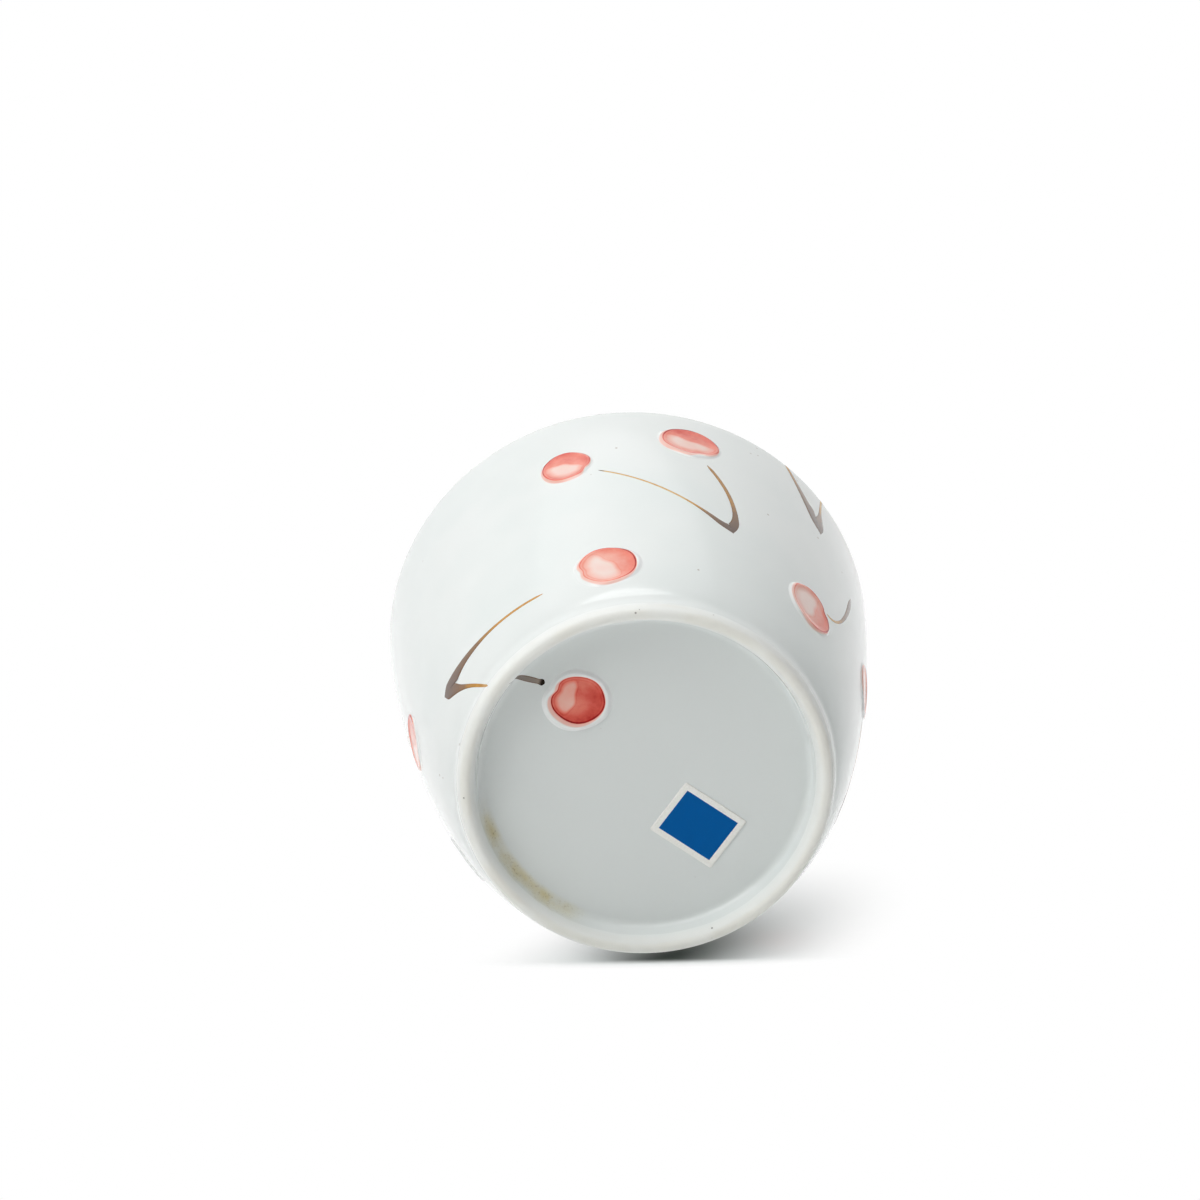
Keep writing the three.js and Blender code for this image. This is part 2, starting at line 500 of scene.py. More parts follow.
@dataclass(frozen=True)
class CherryFinish(Finish):
    """A translucent red wash under gloss glaze on white slip.

    The mesh carries how thick the wash lies, as the attribute "wash" from 0 to 1.
    """

    material: ClassVar[str] = "cherry_wash"
    glaze: GlazeFinish
    stops: Stops = (
        (0.0, srgb(245, 247, 246)),
        (0.1, srgb(248, 228, 220)),
        (0.3, srgb(248, 186, 170)),
        (0.5, srgb(243, 140, 122)),
        (0.68, srgb(226, 98, 84)),
        (0.85, srgb(190, 48, 44)),
        (1.0, srgb(136, 18, 22)),
    )
    mottle: float = 0.22
    cloud: Cloud = Cloud(420.0, 3.0)
    brush: Cloud = Cloud(1300.0, 4.0)
    dull: Cloud = Cloud(500.0)
    dull_gain: float = 0.05
    ripple: Ripple = Ripple(Cloud(260.0, 1.0), 0.06 * MM, 0.4)

    def sockets(self, here: Wire) -> dict[str, Any]:
        """A wash that is redder where it lies thicker, mottled by clouds and brush marks.

        Args:
            here: Object coordinates.

        Returns:
            Values and wires by socket.
        """
        book = here.book
        wash = book.attribute("wash")
        cloud = (self.cloud.noise(here) - 0.5) * (2.0 * self.mottle)
        brush = (self.brush.noise(here) - 0.5) * self.mottle
        thick = (wash + wash * (cloud + brush)).held()
        return {
            "Base Color": book.node("ValToRGB", {"stops": self.stops}, {"Fac": thick}),
            "Roughness": self.glaze.gloss + self.dull_gain * self.dull.noise(here),
            "IOR": self.glaze.ior,
            "Normal": self.ripple.normal(here),
        }


@dataclass(frozen=True)
class StemFinish(Finish):
    """Iron-brown brush strokes: golden where they run thin, grey-brown where they pool.

    The mesh carries "pool" from 0, thin, to 1, pooled, "edge" from 0 at the middle of the stroke
    to 1 at its sides, and "blot" near the dark dot at a stroke's start.
    """

    material: ClassVar[str] = "iron_brown"
    glaze: GlazeFinish
    stops: Stops = (
        (0.0, srgb(218, 182, 118)),
        (0.2, srgb(200, 146, 68)),
        (0.5, srgb(146, 112, 82)),
        (1.0, srgb(117, 100, 91)),
    )
    cloud: Cloud = Cloud(900.0, 3.0)
    cloud_gain: float = 0.3
    side: Colour = srgb(116, 80, 50)
    side_share: float = 0.8
    side_edge: Pair = (0.6, 0.92)
    side_pool: Pair = (0.05, 0.4)
    blot: Colour = srgb(44, 34, 26)
    dull: Cloud = Cloud(700.0)
    dull_gain: float = 0.1

    def sockets(self, here: Wire) -> dict[str, Any]:
        """A stroke whose sides are darker where it pools.

        Args:
            here: Object coordinates.

        Returns:
            Values and wires by socket.
        """
        book = here.book
        cloud = self.cloud.noise(here) - 0.5
        pool = (book.attribute("pool") + cloud * self.cloud_gain).held()
        middle = book.node("ValToRGB", {"stops": self.stops}, {"Fac": pool})
        rim = book.attribute("edge").eased(*self.side_edge) * pool.eased(*self.side_pool)
        stroke = book.mix(rim * self.side_share, middle, self.side)
        return {
            "Base Color": book.mix(book.attribute("blot"), stroke, self.blot),
            "Roughness": self.glaze.gloss + self.dull_gain * self.dull.noise(here),
            "IOR": self.glaze.ior,
        }


@dataclass(frozen=True)
class LabelFinish(Finish):
    """Satin paper with a plain border and a bare blue panel.

    The mesh carries "inset": how far a point lies inside the label's edge, in millimetres, as are
    border, line_soft and line_rough.
    """

    material: ClassVar[str] = "label_paper"
    paper: Colour = srgb(248, 248, 243)
    shade: Colour = srgb(226, 226, 218)
    shade_share: float = 0.4
    shade_fibre: Cloud = Cloud(3200.0, 4.0, 0.3, 0.8)
    blue: Colour = srgb(0, 92, 164)
    worn: Colour = srgb(0, 116, 184)
    worn_share: float = 0.25
    worn_fibre: Cloud = Cloud(3200.0, 4.0, 0.55, 0.8)
    border: float = 1.05
    line_soft: float = 0.03
    line_rough: float = 0.06
    paper_roughness: float = 0.55
    ink_gloss: float = 0.1
    specular: float = 0.05
    ripple: Ripple = Ripple(Cloud(3200.0, 4.0), 0.02 * MM, 0.5)

    def sockets(self, here: Wire) -> dict[str, Any]:
        """Fibrous paper, printed beyond its border.

        Args:
            here: Object coordinates.

        Returns:
            Values and wires by socket.
        """
        book = here.book
        rough = (self.shade_fibre.noise(here) - 0.5) * self.line_rough
        line = book.attribute("inset") + rough
        panel = line.eased(self.border - self.line_soft, self.border + self.line_soft)
        ink = book.mix(self.worn_fibre.share(here) * self.worn_share, self.blue, self.worn)
        sheet = book.mix(self.shade_fibre.share(here) * self.shade_share, self.paper, self.shade)
        return {
            "Base Color": book.mix(panel, sheet, ink),
            "Roughness": self.paper_roughness - panel * self.ink_gloss,
            "Specular IOR Level": self.specular,
            "Normal": self.ripple.normal(here),
        }


class Loft:
    """Closed surfaces made of rings of points, computed as whole arrays."""

    @staticmethod
    def quads(numbers: Array) -> Array:
        """Quads between neighbouring rings of vertex numbers; each ring closes on itself."""
        beside = np.roll(numbers, -1, axis=1)
        return np.stack([numbers[:-1], beside[:-1], beside[1:], numbers[1:]], axis=-1).reshape(-1, 4)

    @classmethod
    def piece(
        cls,
        name: str,
        rings: Array,
        poles: Optional[tuple[Array, Array]] = None,
        sharp_rows: Sequence[int] = (),
    ) -> bpy.types.Object:
        """Put a loft into a mesh object at the origin.

        Args:
            name: The piece's name.
            rings: Points by ring, place in the ring, and axis.
            poles: The points that close the first and last ring, or None where the last ring
                joins the first.
            sharp_rows: Rings whose edges stay crisp.

        Returns:
            The new object, smooth shaded, its faces pointing out.
        """
        rows, columns, _ = rings.shape
        points = rings.reshape(-1, 3)
        numbers = np.arange(len(points)).reshape(rows, columns)
        quads = cls.quads(np.vstack([numbers, numbers[:1]]) if poles is None else numbers)
        corners = [quads]
        if poles is not None:
            first, last = np.full((2, columns), [[len(points)], [len(points) + 1]])
            points = np.concatenate([points, np.array(poles)])
            corners.append(np.stack([first, np.roll(numbers[0], -1), numbers[0]], axis=-1))
            corners.append(np.stack([last, numbers[-1], np.roll(numbers[-1], -1)], axis=-1))
        if cls.inside_out(points, quads):
            corners = [c[:, ::-1] for c in corners]
        mesh = bpy.data.meshes.new(name)
        mesh.from_pydata(points.tolist(), [], [f for c in corners for f in c.tolist()])
        mesh.polygons.foreach_set("use_smooth", np.ones(len(mesh.polygons), bool))
        if sharp_rows:
            cls.crisp(mesh, columns, sharp_rows)
        mesh.update()
        piece = bpy.data.objects.new(name, mesh)
        bpy.context.scene.collection.objects.link(piece)
        return piece

    @staticmethod
    def inside_out(points: Array, quads: Array) -> bool:
        """Whether faces point inwards: their tetrahedra to the points' middle sum to under 0."""
        p = (points[quads] - points.mean(axis=0)).transpose(1, 0, 2)
        return bool((p[0] * np.cross(p[1] - p[3], p[2])).sum() < 0.0)

    @staticmethod
    def crisp(mesh: bpy.types.Mesh, columns: int, rows: Sequence[int]) -> None:
        """Mark the edges that run along some rings as sharp.

        Args:
            mesh: The mesh.
            columns: Points in a ring.
            rows: Numbers of the rings.
        """
        ends = np.empty(len(mesh.edges) * 2, np.int32)
        mesh.edges.foreach_get("vertices", ends)
        ring = ends.reshape(-1, 2) // columns
        along = (ring[:, 0] == ring[:, 1]) & np.isin(ring[:, 0], list(rows))
        mesh.edges.foreach_set("use_edge_sharp", along)

    @staticmethod
    def carry(piece: bpy.types.Object, name: str, rings: Array, poles: Sequence[float]) -> None:
        """Store one number for each vertex of the rings and then of the poles."""
        made = piece.data.attributes.new(name, "FLOAT", "POINT")
        made.data.foreach_set("value", np.append(rings.ravel(), poles).astype(np.float32))

    @staticmethod
    def revolve(profile: Array, segments: int) -> Array:
        """Turn a profile of radius and height about the Z axis, into a ring for each of its points."""
        return around(profile[:, :1], profile[:, 1:], circle(segments))


class Side(Enum):
    """Which face of the wall an ornament lies on."""

    OUTSIDE = 1
    INSIDE = -1


@dataclass
class CupShape:
    """The cup's turned profile: foot ring, outer wall, lip, inner wall and floor.

    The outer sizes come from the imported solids; the rest are the cup's own sizes. skin is the
    profile from the foot's crest over the lip to the inner floor, along its distances and normals
    its outward directions. wall_row is the point where its wall starts and lip_row the one after
    the lip's top.
    """

    rim_radius: float
    height: float
    foot_height: float
    foot_top_radius: float
    lip_round: float = 1.3 * MM
    wall_at_floor: float = 3.8 * MM
    floor_thickness: float = 4.2 * MM
    inner_corner: float = 11.0 * MM
    hip_flare: float = math.radians(30.0)
    hip_reach: float = 8.0 * MM
    rim_flare: float = math.radians(3.0)
    rim_reach: float = 26.0 * MM
    crest_radius: float = 29.55 * MM
    crest_reach: float = 1.85 * MM
    cove_reach: float = 2.5 * MM
    toe_radius: float = 28.4 * MM
    toe_height: float = 2.8 * MM
    recess_lean: float = 1.05 * MM
    recess_fillet: float = 0.9 * MM
    wall_steps: int = 120
    lip_steps: int = 24
    inner_steps: int = 60
    corner_steps: int = 36
    flank_steps: int = 56
    fillet_steps: int = 14
    toe_steps: int = 28
    floor_steps: int = 8
    skin: Array = field(init=False)
    along: Array = field(init=False)
    normals: Array = field(init=False)
    wall_row: int = field(init=False)
    lip_row: int = field(init=False)

    @classmethod
    def from_frame(cls) -> "CupShape":
        """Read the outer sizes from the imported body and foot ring."""
        _, body_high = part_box("cup_body")
        _, foot_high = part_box("foot_ring")
        return cls(body_high.x, body_high.z, foot_high.z, foot_high.x)

    def __post_init__(self) -> None:
        """Trace the skin from the foot's crest over the lip to the inner floor."""
        flank = self.flank()
        wall = self.outer_wall()
        lip = self.lip()
        self.wall_row = len(flank)
        self.lip_row = len(flank) + len(wall) - 1 + len(lip) // 2
        self.skin = np.concatenate([flank, wall[1:], lip[1:], self.inner_wall(wall)[1:]])
        self.along = travelled(self.skin)
        run = unit(np.gradient(self.skin, self.along, axis=0))
        self.normals = np.stack([run[:, 1], -run[:, 0]], axis=1)

    @property
    def wall_top(self) -> float:
        """Height where the wall turns into the lip."""
        return self.height - self.lip_round

    @property
    def inner_floor(self) -> float:
        """Height of the floor inside the cup."""
        return self.foot_height + self.floor_thickness

    @staticmethod
    def heading(flare: float) -> Array:
        """The direction in the profile that leans outwards from straight up by an angle."""
        return np.array([math.sin(flare), math.cos(flare)])

    def flank(self) -> Array:
        """One cubic curve from the middle of the foot's crest up into the wall's own lean."""
        crest = np.array([self.crest_radius, 0.0])
        top = np.array([self.foot_top_radius, self.foot_height])
        level = crest + np.array([self.crest_reach, 0.0])
        below = top - self.heading(self.hip_flare) * self.cove_reach
        return bezier([crest, level, below, top], self.flank_steps)

    def outer_wall(self) -> Array:
        """One cubic curve from the foot ring to the lip: it leans out at the hip, then stands up."""
        foot = np.array([self.foot_top_radius, self.foot_height])
        lip = np.array([self.rim_radius, self.wall_top])
        above = foot + self.heading(self.hip_flare) * self.hip_reach
        below = lip - self.heading(self.rim_flare) * self.rim_reach
        return bezier([foot, above, below, lip], self.wall_steps)

    def lip(self) -> Array:
        """Half a circle over the top of the wall."""
        angle = np.linspace(0.0, math.pi, self.lip_steps + 1)
        middle = np.array([self.rim_radius - self.lip_round, self.wall_top])
        return middle + self.lip_round * np.stack([np.cos(angle), np.sin(angle)], axis=1)

    def inner_radius(self, wall: Array, height: Array) -> Array:
        """Radius of the inner wall: the thickness falls evenly from the floor to the lip.

        Args:
            wall: The outer wall's points.
            height: Heights above the table.

        Returns:
            The radius at each height.
        """
        ends = (self.inner_floor, self.wall_top)
        thick = np.interp(height, ends, (self.wall_at_floor, 2.0 * self.lip_round))
        return np.interp(height, wall[:, 1], wall[:, 0]) - thick

    def inner_wall(self, wall: Array) -> Array:
        """The inner wall down from the lip, with a soft turn, a quadratic curve, into the floor.

        Args:
            wall: The outer wall's points.

        Returns:
            Points from the lip down to where the inner floor is level.
        """
        floor = self.inner_floor
        heights = np.linspace(self.wall_top, floor + self.inner_corner, self.inner_steps + 1)
        straight = np.stack([self.inner_radius(wall, heights), heights], axis=1)
        foot = float(self.inner_radius(wall, np.array(floor)))
        turn = [straight[-1], (foot, floor), (foot - self.inner_corner, floor)]
        return np.concatenate([straight, bezier(turn, self.corner_steps)[1:]])

    def recess(self) -> Array:
        """The foot ring's inner side: a tight fillet at the floor, a straight lean, a soft round."""
        toe = np.array([self.toe_radius, 0.0])
        corner = np.array([self.toe_radius - self.recess_lean, self.foot_height])
        level = corner - np.array([self.recess_fillet, 0.0])
        lean = (toe - corner) / self.foot_height
        fillet = bezier([level, corner, corner + lean * self.recess_fillet], self.fillet_steps)
        crest = np.array([self.crest_radius, 0.0])
        soft = bezier([toe - lean * self.toe_height, toe, crest], self.toe_steps)
        return np.concatenate([fillet, soft])

    def recess_drop(self, radius: Array) -> Array:
        """How far the ring's inner side hangs below the underside at a distance from the axis."""
        side = self.recess()
        return self.foot_height - np.interp(radius, side[:, 0], side[:, 1])

    def place(self, angle: Array, along: Array, lift: Array) -> Array:
        """Points on or above the skin: its profile's point, moved outwards by lift, turned by angle.

        Args:
            angle: Angle round the axis, in radians.
            along: Distance along the skin from the foot ring.
            lift: Height above the skin.

        Returns:
            Points in the cup's frame.
        """
        r, z, out_r, out_z = (
            np.interp(along, self.along, column) for column in (*self.skin.T, *self.normals.T)
        )
        return around(r + lift * out_r, z + lift * out_z, angle)

    def lay(self, across: Array, along: Array, lift: Array) -> Array:
        """Points above the skin, by distance round the cup as on a drum of the rim's radius.

        Args:
            across: Distance round the drum.
            along: Distance along the skin.
            lift: Height above the skin.

        Returns:
            Points in the cup's frame, none of them above the lip.
        """
        points = self.place(across / self.rim_radius, along, lift)
        points[..., 2] = np.minimum(points[..., 2], self.height)
        return points

    def reach(self, height: float, side: Side) -> float:
        """Distance along the skin from the foot ring to a height on one face of the wall."""
        rows = slice(0, self.lip_row) if side is Side.OUTSIDE else slice(None, self.lip_row, -1)
        return float(np.interp(height, self.skin[rows, 1], self.along[rows]))

    def radius_at(self, along: float) -> float:
        """Radius of the skin at a distance from the foot ring."""
        return float(np.interp(along, self.along, self.skin[:, 0]))


def show(piece: bpy.types.Object, slot: str, *nodes: str) -> None:
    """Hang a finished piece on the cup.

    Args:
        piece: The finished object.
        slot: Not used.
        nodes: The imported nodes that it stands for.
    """
    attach(piece, ROOT_BODY)
    if nodes:
        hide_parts(*nodes)
    LOG.info("%s: %d faces", piece.name, len(piece.data.polygons))


@dataclass
class CupBody:
    """The glazed wall and floor, turned as one surface."""

    shape: CupShape
    finish: GlazeFinish
    segments: int = 240

    def build(self) -> None:
        """Revolve the underside, skin and inner floor, dress them and hang them on the cup."""
        shape = self.shape
        under = np.linspace(0.0, shape.foot_top_radius, shape.floor_steps + 1)[1:]
        underside = np.stack([under, np.full_like(under, shape.foot_height)], axis=1)
        inside = np.linspace(shape.skin[-1, 0], 0.0, shape.floor_steps + 1)[1:-1]
        floor = np.stack([inside, np.full_like(inside, shape.inner_floor)], axis=1)
        profile = np.concatenate([underside, shape.skin[shape.wall_row:], floor])
        poles = (np.array([0.0, 0.0, shape.foot_height]), np.array([0.0, 0.0, shape.inner_floor]))
        rings = Loft.revolve(profile, self.segments)
        piece = Loft.piece("porcelain_body", rings, poles, sharp_rows=[len(underside) - 1])
        self.finish.dress(piece)
        show(piece, "glazed_porcelain", "cup_body")


@dataclass
class FootRing:
    """The ring that the cup stands on: fillet, leaning inner side, rounded crest, outer flank."""

    shape: CupShape
    finish: BareFootFinish
    segments: int = 240

    def build(self) -> None:
        """Revolve the outline, dress it and hang it on the cup."""
        outline = np.concatenate([self.shape.recess(), self.shape.flank()[1:]])
        corners = [0, len(outline) - 1]
        piece = Loft.piece("foot_crest", Loft.revolve(outline, self.segments), sharp_rows=corners)
        self.finish.dress(piece)
        show(piece, "bare_foot", "foot_ring")


def node_points(node: str) -> Array:
    """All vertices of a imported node.

    Args:
        node: The node's name.

    Returns:
        Points by row.
    """
    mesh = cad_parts[node].data
    points = np.empty(len(mesh.vertices) * 3)
    mesh.vertices.foreach_get("co", points)
    return points.reshape(-1, 3)


def node_middle(node: str) -> Array:
    """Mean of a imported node's vertices."""
    return node_points(node).mean(axis=0)


def node_radius(node: str) -> float:
    """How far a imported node's vertices reach from their mean."""
    return float(np.linalg.norm(node_points(node) - node_middle(node), axis=1).max())


@dataclass
class Seat:
    """A spot on the wall where an ornament lies, with its own flat coordinates."""

    shape: CupShape
    turn: float
    along: float

    @classmethod
    def of_node(cls, shape: CupShape, node: str) -> "Seat":
        """Find the spot on the wall that an imported pad covers.

        Args:
            shape: The cup's shape.
            node: The pad's node.

        Returns:
            The spot under the pad's middle.
        """
        x, y, z = node_middle(node)
        outside = shape.reach(z, Side.OUTSIDE)
        inside = shape.reach(z, Side.INSIDE)
        wall = (shape.radius_at(outside) + shape.radius_at(inside)) / 2.0
        return cls(shape, math.atan2(y, x), outside if math.hypot(x, y) > wall else inside)

    def lay(self, across: Array, up: Array, lift: Array) -> Array:
        """Points near the spot, by distance round the cup, away from the foot and off the skin."""
        angle = self.turn + across / self.shape.radius_at(self.along)
        return self.shape.place(angle, self.along + up, lift)


@dataclass
class UnderSeat:
    """A spot on the underside of the floor, facing down; it runs on along the foot's inner side."""

    middle: Array
    shape: CupShape

    def lay(self, across: Array, up: Array, lift: Array) -> Array:
        """Points below the underside near the spot.

        Args:
            across: Distance along +X.
            up: Distance along -Y.
            lift: Height off the underside, downwards.

        Returns:
            Points in the cup's frame.
        """
        x = self.middle[0] + across
        y = self.middle[1] - up
        drop = self.shape.recess_drop(np.hypot(x, y))
        return np.stack(np.broadcast_arrays(x, y, self.shape.foot_height - drop - lift), axis=-1)


@dataclass(frozen=True)
class Hand:
    """How one cherry was painted.

    dark and gleam are the sides, in degrees, where the colour ran together and where it stayed
    pale; strength is the wash's thickness, ink that of its dark outline, gleam_edge how softly the
    pale side fades in, and shore how far from the middle it starts. slip is the way in which the
    second wash lies off the first, spread scales how far the washes reach, gleam_reach how far the
    pale side does, bare how much of the wash it lacks, and oval gives the fruit's width and length
    as shares.
    """

    dark: float = 70.0
    gleam: float = 210.0
    strength: float = 0.34
    ink: float = 0.4
    gleam_edge: float = 0.5
    shore: float = 0.04
    slip: float = 60.0
    spread: float = 1.06
    gleam_reach: float = 0.8
    bare: float = 0.6
    oval: Pair = (1.0, 1.0)


@dataclass(frozen=True)
class Washes:
    """What all cherries' washes have in common; lengths are shares of the pad's radius.

    Pairs hold the two ends of a range, or the place and width of a ridge; waves are pairs of pace
    and depth. The dent lies at the stem, the line round the second wash, the tide inside that line
    and the shore along the pale gleam.
    """

    first_reach: float = 0.835
    first_fade: float = 0.94
    first_thickness: float = 0.24
    second_reach: float = 0.79
    second_fade: float = 0.965
    slip: Pair = (0.03, 0.05)
    vary: Pair = (0.9, 1.1)
    edge_waves: tuple[Pair, ...] = ((2.0, 0.025), (5.0, 0.012))
    dent: float = 0.1
    dent_width: float = 0.26
    line: Pair = (0.955, 0.022)
    line_least: float = 0.2
    tide: Pair = (0.84, 0.022)
    tide_gain: float = 0.07
    creep_start: float = 0.45
    creep_gain: float = 0.12
    gleam_waves: tuple[Pair, ...] = ((4.0, 0.06), (11.0, 0.02))
    gleam_bow: float = 0.1
    gleam_depth: float = 0.34
    gleam_end: float = 1.1
    lens_power: float = 6.0
    shore: Pair = (1.08, 0.04)
    shore_gain: float = 0.06
    rich: Pair = (0.1, -0.5)
    rich_gain: float = 0.1
    blotches: int = 5
    blotch_pace: Pair = (3.0, 9.0)
    blotch_gain: float = 0.022


@dataclass
class CherryPad:
    """One raised cherry of slip: a rounded border, a shallow dish and a red wash in it.

    stem is the direction in which the stem leaves, seed varies the outline and the wash, and crest
    and dish_edge are the shares of the radius where the border is highest and the dish level.
    """

    node: str
    seat: Union[Seat, UnderSeat]
    stem: float
    hand: Hand
    seed: int
    finish: CherryFinish
    relief: float = 0.31 * MM
    crest: float = 0.86
    dish_edge: float = 0.6
    dish: float = 0.18 * MM
    sink: float = 0.08 * MM
    wobble: tuple[Pair, ...] = ((2.0, 0.025), (3.0, 0.018), (5.0, 0.01))
    notch: float = 0.05
    notch_width: float = 0.3
    rings: int = 64
    crowding: float = 1.35
    under_shares: Pair = (0.66, 0.33)
    segments: int = 128
    washes: Washes = Washes()

    def outline(self, angle: Array, rng: np.random.Generator) -> Array:
        """The pad's radius by direction: an oval with a soft wobble and a notch at the stem.

        Args:
            angle: Directions in radians.
            rng: Source of the pad's own wobble.

        Returns:
            Radii as shares of the pad's radius, at most 1.
        """
        phase = rng.uniform(0.0, FULL_TURN, len(self.wobble))
        notch = self.notch * ridge(turn_from(self.stem, angle), 0.0, self.notch_width)
        wide, long = self.hand.oval
        oval = np.hypot(np.cos(angle) / wide, np.sin(angle) / long)
        shape = (1.0 + waves(angle, self.wobble, phase) - notch) / oval
        return shape / shape.max()

    def height(self, share: Array) -> Array:
        """Height of the slip, which rises from its edge to a border and dips into a dish."""
        border = self.relief * smooth(1.0, self.crest, share)
        return border - self.dish * smooth(self.crest, self.dish_edge, share)

    def blotches(self, x: Array, y: Array, rng: np.random.Generator) -> Array:
        """Where the brush left more or less colour: a few crossing waves of random way and length.

        Args:
            x: Distance across, as a share of the pad's radius.
            y: Distance up, as a share of the pad's radius.
            rng: Source of the waves.

        Returns:
            Thickness to add, about 0.
        """
        way = rng.uniform(0.0, FULL_TURN, self.washes.blotches)
        pace = rng.uniform(*self.washes.blotch_pace, self.washes.blotches)
        phase = rng.uniform(0.0, FULL_TURN, self.washes.blotches)
        run = np.multiply.outer(x, np.cos(way)) + np.multiply.outer(y, np.sin(way))
        return self.washes.blotch_gain * np.sin(pace * run + phase).sum(axis=-1)

    def disc(self, x: Array, y: Array, size: float, waver: Array) -> tuple[Array, Array]:
        """A wash's round edge, wavy and dented at the stem, seen from the wash's own middle.

        Args:
            x: Distance across from the wash's middle.
            y: Distance up from the wash's middle.
            size: The wash's radius.
            waver: Phases of the waves along its edge.

        Returns:
            Distance from the middle, 1 at the edge, and direction.
        """
        angle = np.arctan2(y, x)
        edge = size * (1.0 + waves(angle, self.washes.edge_waves, waver))
        dent = self.washes.dent * ridge(turn_from(self.stem, angle), 0.0, self.washes.dent_width)
        return np.hypot(x, y) / (edge - dent), angle

    def lens(self, across: Array, along: Array, away: Array, waver: Array) -> Array:
        """The pale gleam's outline: a rounded corner between the wash's edge and a wavy shore.

        The two distances are joined as the sixth root of the sum of their sixth powers.

        Args:
            across: Distance towards the pale side.
            along: Distance at right angles to it.
            away: Distance from the second wash's middle, 1 at its edge.
            waver: Phases of the shore's waves.

        Returns:
            A value under 1 inside the gleam, growing outwards.
        """
        rule = self.washes
        bend = waves(along, rule.gleam_waves, waver) + rule.gleam_bow * along ** 2
        shore_way = (self.hand.shore + bend - across) / rule.gleam_depth + 1.0
        outward = np.clip(away / self.hand.gleam_reach, 0.0, None) ** rule.lens_power
        return (outward + np.clip(shore_way, 0.0, None) ** rule.lens_power) ** (1.0 / rule.lens_power)

    def wash(self, x: Array, y: Array, rng: np.random.Generator) -> Array:
        """How thick the red lies: a pale first wash, a fuller second one, a dark line, a bare gleam.

        Args:
            x: Distance across, as a share of the pad's radius.
            y: Distance up, as a share of the pad's radius.
            rng: Source of the hand's own variation.

        Returns:
            Thickness from 0 to 1.
        """
        hand = self.hand
        rule = self.washes
        x = x / hand.oval[0]
        y = y / hand.oval[1]
        dark, pale, way = np.radians([hand.dark, hand.gleam, hand.slip])
        slip = rng.uniform(*rule.slip) * np.array([math.cos(way), math.sin(way)])
        waver = rng.uniform(0.0, FULL_TURN, len(rule.edge_waves))
        full = hand.strength * rng.uniform(*rule.vary)
        first, _ = self.disc(x + slip[0], y + slip[1], rule.first_reach * hand.spread, waver)
        second, angle = self.disc(x - slip[0], y - slip[1], rule.second_reach * hand.spread, waver)
        thin = rule.first_thickness * smooth(1.0, rule.first_fade, first)
        inside = smooth(1.0, rule.second_fade, second)
        facing = 0.5 + 0.5 * np.cos(angle - dark)
        line = ridge(second, *rule.line) * (rule.line_least + hand.ink * facing ** 2)
        tide = rule.tide_gain * ridge(second, *rule.tide) * (1.0 - facing)
        creep = rule.creep_gain * smooth(rule.creep_start, 1.0, second) * facing
        across = x * math.cos(pale) + y * math.sin(pale)
        along = -x * math.sin(pale) + y * math.cos(pale)
        lens = self.lens(across, along, second, waver)
        gleam = smooth(rule.gleam_end, rule.gleam_end - hand.gleam_edge, lens)
        shore = rule.shore_gain * ridge(lens, *rule.shore)
        rich = rule.rich_gain * smooth(*rule.rich, across) + self.blotches(x, y, rng)
        body = (full + rich + creep) * (1.0 - hand.bare * gleam) + line + tide + shore
        return np.clip(thin * (1.0 - inside) + inside * body, 0.0, 1.0)

    def build(self) -> None:
        """Lay the pad's top from its middle out and its underside back in, and hang it on the cup."""
        rng = np.random.default_rng(self.seed)
        angle = circle(self.segments)
        edge = self.outline(angle, rng)
        shares = 1.0 - (1.0 - np.linspace(0.0, 1.0, self.rings + 1)[1:]) ** self.crowding
        share = np.concatenate([shares, self.under_shares])[:, None]
        x = share * edge * np.cos(angle)
        y = share * edge * np.sin(angle)
        lift = np.broadcast_to(self.height(share), x.shape).copy()
        lift[self.rings - 1:] = -self.sink
        radius = node_radius(self.node)
        rings = self.seat.lay(x * radius, y * radius, lift)
        zero = np.zeros(1)
        top = self.seat.lay(zero, zero, zero + self.relief - self.dish)[0]
        bottom = self.seat.lay(zero, zero, zero - self.sink)[0]
        piece = Loft.piece(self.node.replace("cherry", "cherry_pad"), rings, (top, bottom))
        middle = np.zeros(2)
        wash = self.wash(np.append(x.ravel(), middle), np.append(y.ravel(), middle), rng)
        Loft.carry(piece, "wash", wash[:-2], wash[-2:])
        self.finish.dress(piece)
        show(piece, "cherry_relief", self.node)


@dataclass(frozen=True)
class Meeting:
    """Where two stems come together: their common tip and the way midway between them."""

    tip: Array
    middle: Array
    least_crossing: float = 0.2

    @classmethod
    def of_paths(cls, first: Array, second: Array) -> "Meeting":
        """The meeting of two stems whose control points end in the same tip."""
        tip = second[-1]
        return cls(tip, unit(unit(first[-2] - tip) + unit(second[-2] - tip)))

    def gap(self, line: Array, side: Array) -> tuple[float, Array]:
        """How far a stem lies from the midway line, measured across the stem.

        Args:
            line: Points along the stem.
            side: Unit directions across it, to its left.

        Returns:
            1 where the midway line lies to the left or -1 to the right, and the distances.
        """
        aside = np.array([-self.middle[1], self.middle[0]])
        off = (line - self.tip) @ aside
        turn = -np.sign(off[len(off) // 2])
        hand = float(turn * np.sign(side[-1] @ aside))
        return hand, np.abs(off) / np.maximum(np.abs(side @ aside), self.least_crossing)


